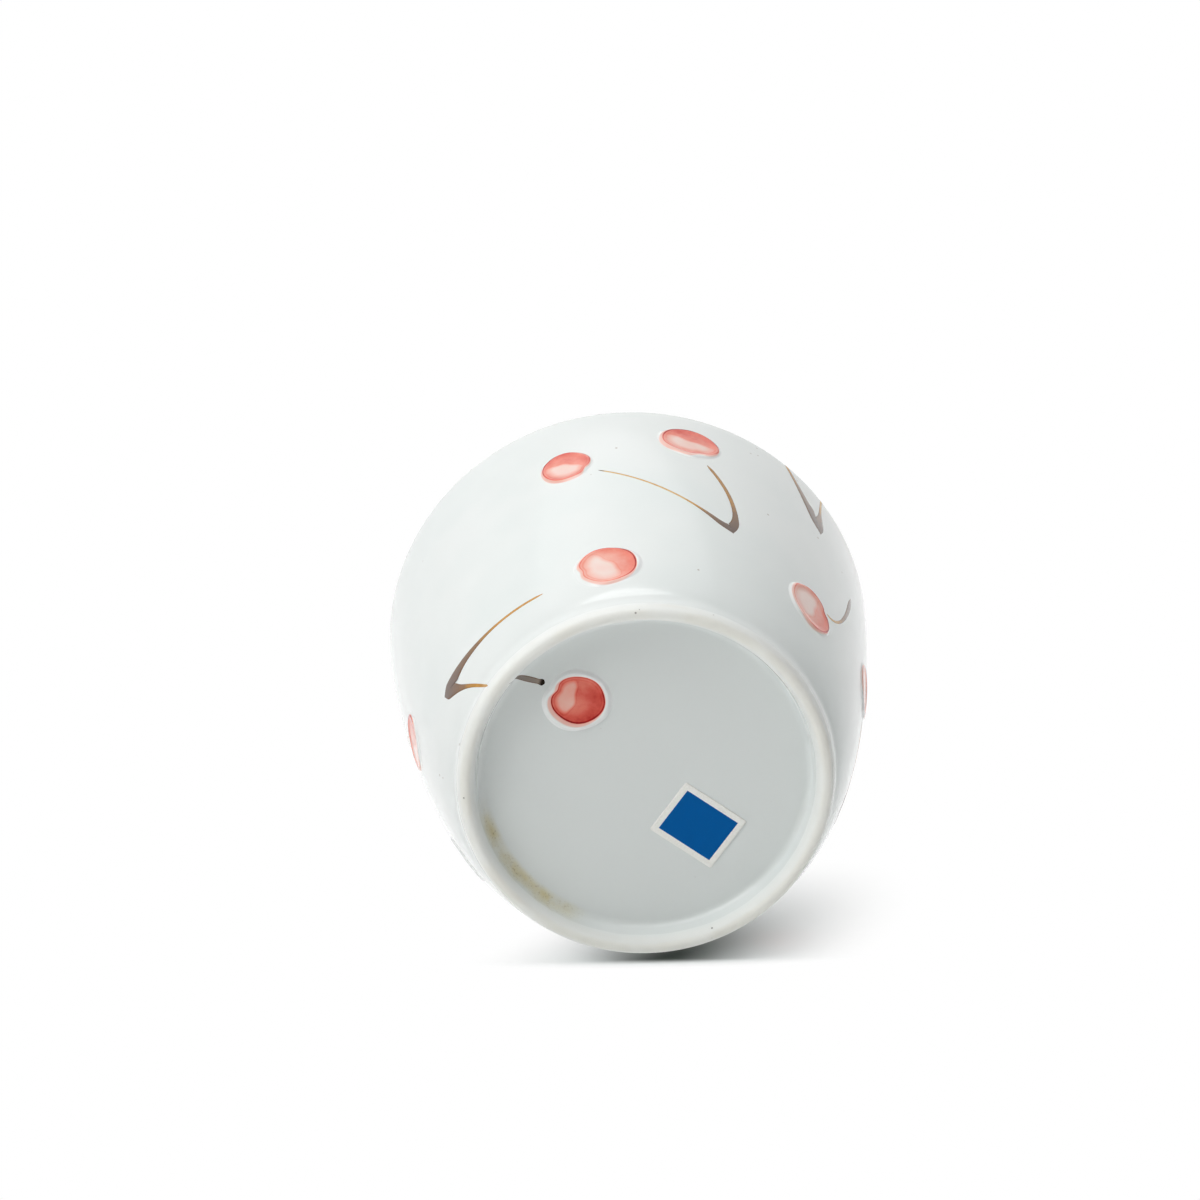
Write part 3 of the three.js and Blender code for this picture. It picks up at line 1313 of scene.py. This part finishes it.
@dataclass
class Stroke:
    """One brush stroke on the glaze: thin where the brush was lifted, pooled where it stopped.

    Two strokes that meet share the line midway between them, and the paint fills their corner as a
    fillet does: it bulges by the square of how much closer than corner their edges come. pool_end
    and start_share are shares of the way along, and blot_span is counted in blot_reach.
    """

    name: str
    finish: StemFinish
    thin: float
    flow: float = 0.1
    taper: float = 4.4 * MM
    blot_reach: float = 1.0 * MM
    body: float = 0.07 * MM
    least_body: float = 0.4
    sink: float = 0.04 * MM
    thin_start: float = 0.75
    thin_gain: float = 0.5
    pool_end: float = 0.98
    pool_power: float = 1.6
    start_share: float = 0.06
    start_power: float = 0.6
    taper_power: float = 1.15
    corner: float = 2.2 * MM
    corner_fill: float = 0.25
    corner_shut: Pair = (0.25, -0.1)
    blot_span: Pair = (1.6, 0.7)
    blot_swell: float = 0.4
    steps: int = 90
    columns: int = 16

    def build(
        self,
        lay: Lay,
        path: Array,
        wide: float,
        swell: float,
        blot: float,
        meeting: Optional[Meeting] = None,
    ) -> None:
        """Carry a low lens-shaped section along a path on the surface.

        Args:
            lay: Function of two flat coordinates and a lift that gives points on the cup.
            path: The path's control points in those flat coordinates, from the fruit to the tip.
            wide: Width of the stroke where it pools.
            swell: Share of the way along at which it starts to widen.
            blot: How dark the stroke's start is, from 0 to 1.
            meeting: Where the stroke comes together with another one.
        """
        line = bezier(path, self.steps)
        run = unit(np.gradient(line, axis=0))
        side = np.stack([-run[:, 1], run[:, 0]], axis=1)
        t = np.linspace(0.0, 1.0, self.steps + 1)
        gone = travelled(line)
        pool = smooth(swell, self.pool_end, t)
        thin = self.thin * (self.thin_start + self.thin_gain * t)
        width = thin + (wide - self.thin) * pool ** self.pool_power
        start = np.clip(t / self.start_share, 0.0, 1.0) ** self.start_power
        left_over = np.clip((gone[-1] - gone) / self.taper, 0.0, 1.0)
        point = np.sin(0.5 * math.pi * left_over) ** self.taper_power
        dark = blot * smooth(*self.blot_span, gone / self.blot_reach)
        half = 0.5 * width * (1.0 + self.blot_swell * dark) * start
        gap = None if meeting is None else meeting.gap(line, side)
        left, right, shut = self.edges(half, point, gap)
        turn = circle(self.columns)
        across = np.cos(turn)
        reach = np.where(across >= 0.0, left[:, None], right[:, None])
        flat = line[:, None, :] + (reach * across)[..., None] * side[:, None, :]
        bared = across * np.where(across * shut[:, None] > 0.0, 1.0 - np.abs(shut[:, None]), 1.0)
        arch = np.sqrt(np.clip(1.0 - bared ** 2, 0.0, 1.0))
        upper = np.arange(self.columns) <= self.columns // 2
        rise = np.where(upper, self.body * arch, self.sink * np.sin(turn))
        fullness = (self.least_body + (1.0 - self.least_body) * pool) * start * point
        height = fullness[:, None] * rise
        inner = slice(1, -1)
        rings = lay(flat[inner, :, 0], flat[inner, :, 1], height[inner])
        poles = tuple(lay(p[:1], p[1:], np.zeros(1))[0] for p in (line[0], line[-1]))
        piece = Loft.piece(self.name, rings, poles)
        ones = np.ones(self.columns)
        depth = self.flow + (1.0 - self.flow) * pool
        Loft.carry(piece, "pool", np.outer(depth[inner], ones), depth[[0, -1]])
        Loft.carry(piece, "edge", np.abs(bared)[inner], np.ones(2))
        Loft.carry(piece, "blot", np.outer(dark[inner], ones), dark[[0, -1]])
        self.finish.dress(piece)
        show(piece, "cherry_relief")

    def edges(
        self, half: Array, point: Array, gap: Optional[tuple[float, Array]]
    ) -> tuple[Array, Array, Array]:
        """How far the stroke reaches to each side of its line.

        Args:
            half: Half of the stroke's width.
            point: Taper to the tip, from 1 down to 0.
            gap: The side on which another stroke meets this one, and the room up to midway.

        Returns:
            The reach to the left, the reach to the right, and where paint fills the corner: up to 1
            where that lies to the left and down to -1 where it lies to the right.
        """
        outer = half * point
        if gap is None:
            return outer, outer, np.zeros_like(half)
        hand, room = gap
        near = (self.corner - (room - half)) / ((1.0 - self.corner_fill) * self.corner)
        filled = half + self.corner_fill * self.corner * np.clip(near, 0.0, None) ** 2
        inner = np.minimum(filled, room)
        shut = hand * smooth(*self.corner_shut, (room - filled) / self.corner)
        return (inner, outer, shut) if hand > 0.0 else (outer, inner, shut)


@dataclass(frozen=True)
class Spot:
    """A place on the wall: degrees round the axis, height above the table, and which face."""

    turn: float
    height: float
    side: Side = Side.OUTSIDE


@dataclass(frozen=True)
class Stem:
    """One brushed stem, as three control spots from its start to its tip, which two may share."""

    name: str
    cherry: Optional[str]
    spots: tuple[Spot, Spot, Spot]
    wide: float = 2.1 * MM
    thin: float = 0.42 * MM
    swell: float = 0.5
    flow: float = Stroke.flow
    taper: float = Stroke.taper
    blot: float = 0.0
    hand: Hand = Hand()


FIRST_TIP = Spot(-65.4, 25.6 * MM)
SECOND_TIP = Spot(-161.5, 12.2 * MM)
THIRD_TIP = Spot(-37.6, 49.6 * MM)
FOURTH_TIP = Spot(20.0, 11.5 * MM)
FIFTH_TIP = Spot(71.5, 20.0 * MM)
SIXTH_TIP = Spot(119.0, 9.0 * MM)
STEMS = (
    Stem("stem_01", "cherry_01", (Spot(-99.0, 42.8 * MM), Spot(-82.0, 35.2 * MM), FIRST_TIP),
         wide=1.6 * MM, thin=0.5 * MM, swell=0.6, flow=0.04, blot=0.8,
         hand=Hand(dark=110.0, gleam=250.0, strength=0.42, shore=-0.12, spread=1.14, oval=(0.87, 1.0))),
    Stem("stem_02", "cherry_02", (Spot(-72.1, 47.4 * MM), Spot(-62.8, 35.5 * MM), FIRST_TIP),
         wide=1.6 * MM, thin=0.9 * MM, swell=0.45, flow=0.32,
         hand=Hand(dark=95.0, gleam=250.0, strength=0.4, shore=-0.2)),
    Stem("stem_03", "cherry_03", (Spot(-119.0, 10.2 * MM), Spot(-140.0, 10.8 * MM), SECOND_TIP),
         wide=2.4 * MM, thin=0.65 * MM, swell=0.25, flow=0.15, taper=2.4 * MM,
         hand=Hand(dark=20.0, gleam=205.0, shore=-0.14, oval=(1.0, 0.93))),
    Stem("stem_branch", None, (Spot(-146.4, 1.6 * MM), Spot(-152.3, 7.2 * MM), SECOND_TIP),
         wide=2.4 * MM, thin=0.8 * MM, swell=0.25, flow=0.2, taper=2.4 * MM),
    Stem("stem_04", "cherry_04", (Spot(-33.0, 24.0 * MM), Spot(-24.6, 24.4 * MM), Spot(-22.4, 44.0 * MM)),
         wide=1.2 * MM, thin=0.6 * MM, swell=0.2,
         hand=Hand(dark=20.0, gleam=165.0, strength=0.31, ink=0.5, shore=-0.14, gleam_reach=0.9)),
    Stem("stem_12", "cherry_12", (Spot(-55.0, 57.5 * MM, Side.INSIDE), Spot(-50.5, 66.0 * MM), THIRD_TIP),
         wide=2.4 * MM, thin=0.8 * MM, swell=0.35),
    Stem("stem_13", "cherry_13", (Spot(-33.0, 56.0 * MM, Side.INSIDE), Spot(-38.6, 64.0 * MM), THIRD_TIP),
         thin=0.6 * MM),
    Stem("stem_05", "cherry_05", (Spot(2.0, 28.9 * MM), Spot(13.0, 22.0 * MM), FOURTH_TIP), blot=0.6),
    Stem("stem_06", "cherry_06", (Spot(30.0, 36.8 * MM), Spot(29.0, 21.0 * MM), FOURTH_TIP)),
    Stem("stem_07", "cherry_07", (Spot(57.0, 16.9 * MM), Spot(65.0, 15.2 * MM), FIFTH_TIP)),
    Stem("stem_08", "cherry_08", (Spot(81.5, 44.2 * MM), Spot(82.0, 31.0 * MM), FIFTH_TIP), blot=0.7),
    Stem("stem_09", "cherry_09", (Spot(109.5, 30.6 * MM), Spot(116.5, 20.0 * MM), SIXTH_TIP), blot=0.5),
    Stem("stem_10", "cherry_10", (Spot(135.2, 17.6 * MM), Spot(126.0, 17.0 * MM), SIXTH_TIP),
         hand=Hand(strength=0.26, ink=0.2, spread=0.96)),
    Stem("stem_11", "cherry_11", (Spot(171.5, 34.3 * MM), Spot(168.0, 47.0 * MM), Spot(152.0, 52.0 * MM)),
         blot=0.6),
)


@dataclass
class Ornament:
    """All cherries and their stems; the under fields are those of the cherry under the floor."""

    shape: CupShape
    cherry_finish: CherryFinish
    stem_finish: StemFinish
    under_node: str = "cherry_14"
    under_hand: Hand = Hand(
        dark=-100.0,
        gleam=160.0,
        strength=0.54,
        ink=0.5,
        gleam_edge=0.3,
        shore=0.1,
        slip=50.0,
        spread=1.0,
        bare=0.48,
        oval=(1.0, 0.9),
    )
    under_relief: float = 0.45 * MM
    under_crest: float = 0.87
    under_tone: Stops = ((0.0, srgb(170, 150, 126)), (1.0, srgb(146, 137, 131)))
    under_path: tuple[Pair, ...] = (
        (-5.2 * MM, 3.1 * MM),
        (-8.0 * MM, 4.0 * MM),
        (-11.4 * MM, 4.6 * MM),
    )
    under_thin: float = 0.9 * MM
    under_wide: float = 1.2 * MM
    under_swell: float = -0.9
    under_blot_reach: float = 0.75 * MM

    def build(self) -> None:
        """Brush each stem and lay the cherry that it leads to, then the one under the floor."""
        paths = [self.path(stem) for stem in STEMS]
        for seed, (stem, path) in enumerate(zip(STEMS, paths)):
            stroke = Stroke(stem.name, self.stem_finish, stem.thin, stem.flow, stem.taper)
            partner = self.partner(seed)
            meeting = None if partner is None else Meeting.of_paths(paths[partner], path)
            stroke.build(self.shape.lay, path, stem.wide, stem.swell, stem.blot, meeting)
            if stem.cherry is not None:
                seat = Seat.of_node(self.shape, stem.cherry)
                leave = path[0] - np.array([seat.turn * self.shape.rim_radius, seat.along])
                way = math.atan2(leave[1], leave[0])
                CherryPad(stem.cherry, seat, way, stem.hand, seed, self.cherry_finish).build()
        self.under_floor(len(STEMS))

    def path(self, stem: Stem) -> Array:
        """A stem's control points, by distance round the cup at the rim's radius and along the skin."""
        turns = np.radians([spot.turn for spot in stem.spots]) * self.shape.rim_radius
        return np.stack([turns, [self.shape.reach(s.height, s.side) for s in stem.spots]], axis=1)

    @staticmethod
    def partner(number: int) -> Optional[int]:
        """The place in STEMS of the other stem with a stem's tip, or None where the tip is free."""
        tip = STEMS[number].spots[-1]
        return next((i for i, stem in enumerate(STEMS) if i != number and stem.spots[-1] == tip), None)

    def under_floor(self, seed: int) -> None:
        """Brush the stem of the cherry under the floor, out towards the ring, and lay the cherry.

        Args:
            seed: Seed of the cherry's hand.
        """
        seat = UnderSeat(node_middle(self.under_node), self.shape)
        path = np.array(self.under_path)
        paler = replace(self.stem_finish, stops=self.under_tone)
        stroke = Stroke("stem_14", paler, self.under_thin, blot_reach=self.under_blot_reach)
        stroke.build(seat.lay, path, self.under_wide, self.under_swell, blot=1.0)
        CherryPad(
            self.under_node,
            seat,
            math.atan2(path[0, 1], path[0, 0]),
            self.under_hand,
            seed,
            self.cherry_finish,
            self.under_relief,
            self.under_crest,
        ).build()


@dataclass
class PaperLabel:
    """The label stuck under the floor: a thin sheet with crisp corners.

    edge_drop is the share of the thickness by which the edge is rounded over edge_round, and
    back_share the size of the ring that closes the back.
    """

    finish: LabelFinish
    length: float = 12.4 * MM
    width: float = 10.2 * MM
    turn: float = math.radians(35.5)
    edge_round: float = 0.06 * MM
    edge_drop: float = 0.3
    back_share: float = 0.5
    segments: int = 160
    rings: int = 26

    def build(self) -> None:
        """Lay rings from the middle of the printed face out to the edge and back under it.

        A direction meets the edge where the larger of its two shares of the half sizes is 1.
        """
        low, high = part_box("paper_label")
        middle = 0.5 * (np.array(low) + np.array(high))
        thick = high.z - low.z
        angle = circle(self.segments)
        half = 0.5 * np.array([self.length, self.width])
        stretch = 1.0 / np.maximum(np.abs(np.cos(angle)) / half[0], np.abs(np.sin(angle)) / half[1])
        rim = np.stack([stretch * np.cos(angle), stretch * np.sin(angle)], axis=1)
        shares = np.linspace(0.0, 1.0, self.rings + 1)[1:-1]
        round_share = 1.0 - self.edge_round / half[1]
        share = np.concatenate([shares * round_share, [round_share, 1.0, 1.0, self.back_share]])
        drop = np.concatenate([np.zeros(self.rings), [self.edge_drop * thick, thick, thick]])
        flat = share[:, None, None] * rim[None]
        x = middle[0] + flat[..., 0] * math.cos(self.turn) - flat[..., 1] * math.sin(self.turn)
        y = middle[1] + flat[..., 0] * math.sin(self.turn) + flat[..., 1] * math.cos(self.turn)
        z = np.broadcast_to((low.z + drop)[:, None], x.shape)
        poles = tuple(np.array([middle[0], middle[1], end]) for end in (low.z, high.z))
        piece = Loft.piece("printed_label", np.stack([x, y, z], axis=-1), poles)
        inset = (half - np.abs(flat)).min(axis=-1) / MM
        Loft.carry(piece, "inset", inset, np.full(2, half[1] / MM))
        self.finish.dress(piece)
        show(piece, "label_paper", "paper_label")


@dataclass
class PhotoCamera:
    """The photograph's view: up at the foot, the cup's axis tilted and slightly rolled.

    The cup's middle stands at middle_pixel of a square frame of frame_pixels.
    """

    middle_height: float
    tilt: float = math.radians(20.87)
    roll: float = math.radians(6.41)
    distance: float = 0.8
    pixels_per_metre: float = 5886.0
    middle_pixel: Pair = (636.8, 707.3)
    frame_pixels: float = 1200.0
    sensor: float = 36.0
    far_end: float = 100.0

    @property
    def middle(self) -> Array:
        """The middle of the cup."""
        return np.array([0.0, 0.0, self.middle_height])

    def axes(self) -> Array:
        """The view's right, down and forward directions in the cup's frame, as rows."""
        foot_way = np.array([
            math.sin(self.tilt) * math.sin(self.roll),
            math.sin(self.tilt) * math.cos(self.roll),
            -math.cos(self.tilt),
        ])
        x = unit(np.array([1.0, 0.0, 0.0]) - foot_way * foot_way[0])
        return np.stack([x, np.cross(-foot_way, x), -foot_way], axis=1)

    def build(self) -> None:
        """Place the camera so that the cup's middle falls on its pixel, and make it the scene's own."""
        right, down, forward = self.axes()
        half = self.frame_pixels / 2.0
        aside, below = [(pixel - half) / self.pixels_per_metre for pixel in self.middle_pixel]
        eye = self.middle - aside * right - below * down - self.distance * forward
        data = bpy.data.cameras.new("photo_camera")
        data.sensor_width = self.sensor
        data.lens = self.pixels_per_metre * self.distance * self.sensor / self.frame_pixels
        data.clip_end = self.far_end
        camera = bpy.data.objects.new("photo_camera", data)
        turn = np.stack([right, -down, -forward], axis=1)
        camera.matrix_world = Matrix.Translation(eye.tolist()) @ Matrix(turn.tolist()).to_4x4()
        bpy.context.scene.collection.objects.link(camera)
        bpy.context.scene.camera = camera


@dataclass(frozen=True)
class Softbox:
    """One soft light, placed by the photograph's right, up and near directions."""

    name: str
    way: tuple[float, float, float]
    distance: float
    size: float
    watts: float

    def build(self, view: PhotoCamera) -> None:
        """Hang the light and aim it at the cup.

        Args:
            view: The photograph's view.
        """
        right, down, forward = view.axes()
        way = unit(self.way[0] * right - self.way[1] * down - self.way[2] * forward)
        level = unit(np.cross([0.0, 0.0, 1.0], way))
        aim = Matrix(np.stack([level, np.cross(way, level), way], axis=1).tolist())
        data = bpy.data.lights.new(self.name, "AREA")
        data.shape = "DISK"
        data.size = self.size
        data.energy = self.watts
        lamp = bpy.data.objects.new(self.name, data)
        lamp.visible_camera = False
        place = view.middle + way * self.distance
        lamp.matrix_world = Matrix.Translation(place.tolist()) @ aim.to_4x4()
        bpy.context.scene.collection.objects.link(lamp)


@dataclass
class Studio:
    """A pale floor under the lying cup, a white surround and soft lights.

    The floor leans with the cup's wall. Its shadow is an ellipse with the half axes shadow_length
    and shadow_width about shadow_middle, a distance to the side and one along the wall.
    shadow_front draws it in towards the camera, and contact_reach is the share of it in which a
    contact shadow is painted, darkening the floor's colour to contact_shade.
    """

    shape: CupShape
    view: PhotoCamera
    white: Colour = srgb(255, 255, 255)
    backdrop: float = 1.0
    far_glow: float = 1.08
    glow_lean: float = 0.05
    floor_size: float = 6.0
    floor_white: Colour = srgb(250, 250, 250)
    floor_glow: float = 0.065
    floor_shown: Colour = srgb(236, 242, 240)
    shadow_middle: Pair = (3.8 * MM, 10.0 * MM)
    shadow_way: float = math.radians(63.0)
    shadow_length: float = 84.0 * MM
    shadow_width: float = 31.0 * MM
    shadow_front: float = 7.0 * MM
    contact_shade: Colour = srgb(114, 119, 114)
    contact_reach: float = 0.52
    lean: float = math.radians(11.3)
    lights: tuple[Softbox, ...] = (
        Softbox("overhead_softbox", (-0.1, 1.0, 0.5), 0.9, 0.8, 4.75),
        Softbox("rear_softbox", (-0.1, 1.0, -0.15), 0.9, 1.1, 1.4),
        Softbox("left_key", (-0.8, 0.6, 0.8), 0.9, 0.5, 2.85),
    )

    def build(self) -> None:
        """Set the picture's tone, then make the surround, the floor and the lights."""
        bpy.context.scene.view_settings.view_transform = "Standard"
        self.make_surround()
        self.make_floor()
        for light in self.lights:
            light.build(self.view)

    def make_surround(self) -> None:
        """Glow from the far side, as the cosine of the angle from it; plain white to the camera."""
        world = bpy.data.worlds.new("white_surround")
        bpy.context.scene.world = world
        book = NodeBook(world)
        right, _, forward = self.view.axes()
        away = book.node("TexCoord", output="Generated")
        glow = book.dot(away, unit(forward + self.glow_lean * right)).held() * self.far_glow
        lit = book.node("Background", None, {"Color": self.white, "Strength": glow})
        plain = book.node("Background", None, {"Color": self.white, "Strength": self.backdrop})
        seen = book.node("LightPath", output="Is Camera Ray")
        both = book.node("MixShader", None, {0: seen, 1: lit, 2: plain})
        book.node("OutputWorld", None, {"Surface": both})

    def floor_axes(self) -> tuple[Array, Array, Array]:
        """The floor's directions: to its side, along the cup's wall, and away from the cup."""
        along = np.array([0.0, math.sin(self.lean), math.cos(self.lean)])
        return np.array([1.0, 0.0, 0.0]), along, np.array([0.0, math.cos(self.lean), -math.sin(self.lean)])

    def make_floor(self) -> None:
        """Lay a plain square sheet against the side that the cup lies on."""
        side, along, out = self.floor_axes()
        middle = out * float((self.shape.skin @ out[1:]).max())
        half = self.floor_size / 2.0
        signs = ((-1, -1), (-1, 1), (1, 1), (1, -1))
        corners = [(middle + half * (a * side + b * along)).tolist() for a, b in signs]
        mesh = bpy.data.meshes.new("pale_floor")
        mesh.from_pydata(corners, [], [(0, 3, 2, 1)])
        floor = bpy.data.objects.new("pale_floor", mesh)
        bpy.context.scene.collection.objects.link(floor)
        mesh.materials.append(self.floor_material(middle))
        floor.visible_shadow = False

    def shadow(self, book: NodeBook, middle: Array) -> Wire:
        """Distance from the shadow's middle, 1 at the ellipse's edge, which is drawn in at the front.

        Args:
            book: Node book of the floor's material.
            middle: The point of the floor under the cup.

        Returns:
            The distance.
        """
        side, along, out = self.floor_axes()
        heart = middle + self.shadow_middle[0] * side + self.shadow_middle[1] * along
        way = math.cos(self.shadow_way) * side + math.sin(self.shadow_way) * along
        inputs = {0: book.here(), 1: heart.tolist()}
        offset = book.node("VectorMath", {"operation": "SUBTRACT"}, inputs)
        lengthwise = book.dot(offset, way / self.shadow_length)
        sideways = book.dot(offset, np.cross(way, out) / self.shadow_width)
        ahead = book.dot(offset, -along / self.shadow_front).held()
        return (lengthwise * lengthwise + sideways * sideways + ahead * ahead) ** 0.5

    def floor_material(self, middle: Array) -> bpy.types.Material:
        """White matte paper with a contact shadow, rendered and, near the contact, painted in as
        contact_shade.

        To the camera it turns as white as the surround beyond the shadow's ellipse. It is clear from
        behind, and in reflections beyond that ellipse. To the cup it also glows a little, as thin
        paper does that lets light from below through.

        Args:
            middle: The point of the floor under the cup.

        Returns:
            The material.
        """
        material = bpy.data.materials.new("pale_floor")
        book = NodeBook(material)
        matte = book.node("BsdfDiffuse", None, {"Color": self.floor_white})
        glow = {"Color": self.floor_white, "Strength": self.floor_glow}
        soft = book.node("Emission", None, glow)
        dim = book.node("AddShader", None, {0: matte, 1: soft})
        clear = book.node("BsdfTransparent")
        behind = book.node("NewGeometry", output="Backfacing")
        seen = book.node("LightPath", output="Is Camera Ray")
        mirrored = book.node("LightPath", output="Is Glossy Ray")
        white = book.node("Emission", None, {"Color": self.white, "Strength": self.backdrop})
        away = self.shadow(book, middle)
        fade = away.eased(0.0, 1.0)
        # Painted contact shadow: near the cup the floor's colour darkens to contact_shade.
        painted_contact_shadow = book.mix(away.eased(0.0, self.contact_reach), self.contact_shade, self.floor_shown)
        bright = book.node("BsdfDiffuse", None, {"Color": painted_contact_shadow})
        shown = book.node("MixShader", None, {0: fade, 1: bright, 2: white})
        sheet = book.node("MixShader", None, {0: seen, 1: dim, 2: shown})
        gone = (behind * seen + fade * mirrored).held()
        both = book.node("MixShader", None, {0: gone, 1: sheet, 2: clear})
        book.node("OutputMaterial", None, {"Surface": both})
        return material


def main() -> None:
    """Build the view, the cup piece by piece, and the studio round it."""
    logging.basicConfig(level=logging.INFO, format="%(name)s %(message)s")
    shape = CupShape.from_frame()
    glaze = GlazeFinish()
    view = PhotoCamera(shape.height / 2.0)
    view.build()
    CupBody(shape, glaze).build()
    FootRing(shape, BareFootFinish(glaze)).build()
    Ornament(shape, CherryFinish(glaze), StemFinish(glaze)).build()
    PaperLabel(LabelFinish()).build()
    Studio(shape, view).build()


if __name__ == "__main__":
    main()
